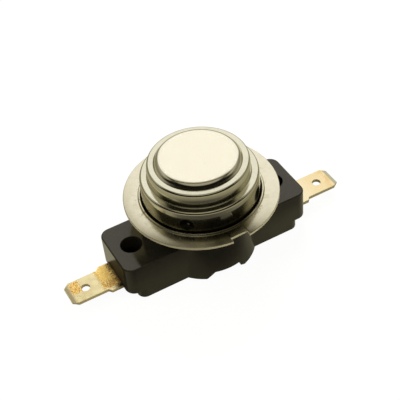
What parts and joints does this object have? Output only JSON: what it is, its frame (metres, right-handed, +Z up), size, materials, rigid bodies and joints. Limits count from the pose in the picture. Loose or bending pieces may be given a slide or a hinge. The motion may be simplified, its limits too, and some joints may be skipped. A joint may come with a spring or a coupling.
{
  "type": "bimetal thermostat",
  "caption": "Snap-disc temperature switch: stepped round metal cup on a notched flange, black moulded housing with two ears and a blade tab at each end.",
  "frame": {"origin": "on the cup's axis, in the plane that the housing stands on", "axes": "+X along the housing towards the right tab, +Y across it away from the pry notch, +Z up through the cup"},
  "size_m": [0.0676, 0.0336, 0.0262],
  "materials": {
    "moulding": "smooth black phenolic moulding",
    "cup_steel": "bright drawn stainless sheet",
    "flange_steel": "satin stainless sheet with faint stains",
    "stained_tab": "tinned brass with brown speckled staining",
    "clean_tab": "tinned brass, lightly tarnished",
    "rivet_metal": "plain brass",
    "disc_metal": "rolled bimetal sheet",
    "guide_board": "brown phenolic board",
    "pin_ceramic": "unglazed white ceramic",
    "spring_metal": "copper alloy spring strip",
    "contact_silver": "dull silver"
  },
  "bodies": {
    "frame": {"housing": "moulding", "bottom_cover": "moulding", "cup": "cup_steel", "flange_ring": "flange_steel", "left_terminal": "stained_tab", "right_terminal": "clean_tab", "left_rivet": "rivet_metal", "right_rivet": "rivet_metal", "bimetal_disc": "disc_metal", "pin_guide": "guide_board", "fixed_contact": "contact_silver"},
    "pin": {"transfer_pin": "pin_ceramic"},
    "arm": {"contact_arm": "spring_metal", "moving_contact": "contact_silver"}
  },
  "joints": [
    {"name": "snap_travel", "type": "slide", "parent": "frame", "child": "pin", "axis": [0, 0, -1], "range_m": [0, 0.0005], "stiffness_N_per_m": 400, "springref_m": -0.0005, "deforming": ["bimetal_disc"]},
    {"name": "arm_flex", "type": "hinge", "parent": "frame", "child": "arm", "pos_m": [0.0133, 0, 0.0022], "axis": [0, -1, 0], "range_deg": [0, 2.2]}
  ],
  "couplings": [
    {"joint": "arm_flex", "follows": "snap_travel", "rad_per_m": 75.188}
  ]
}
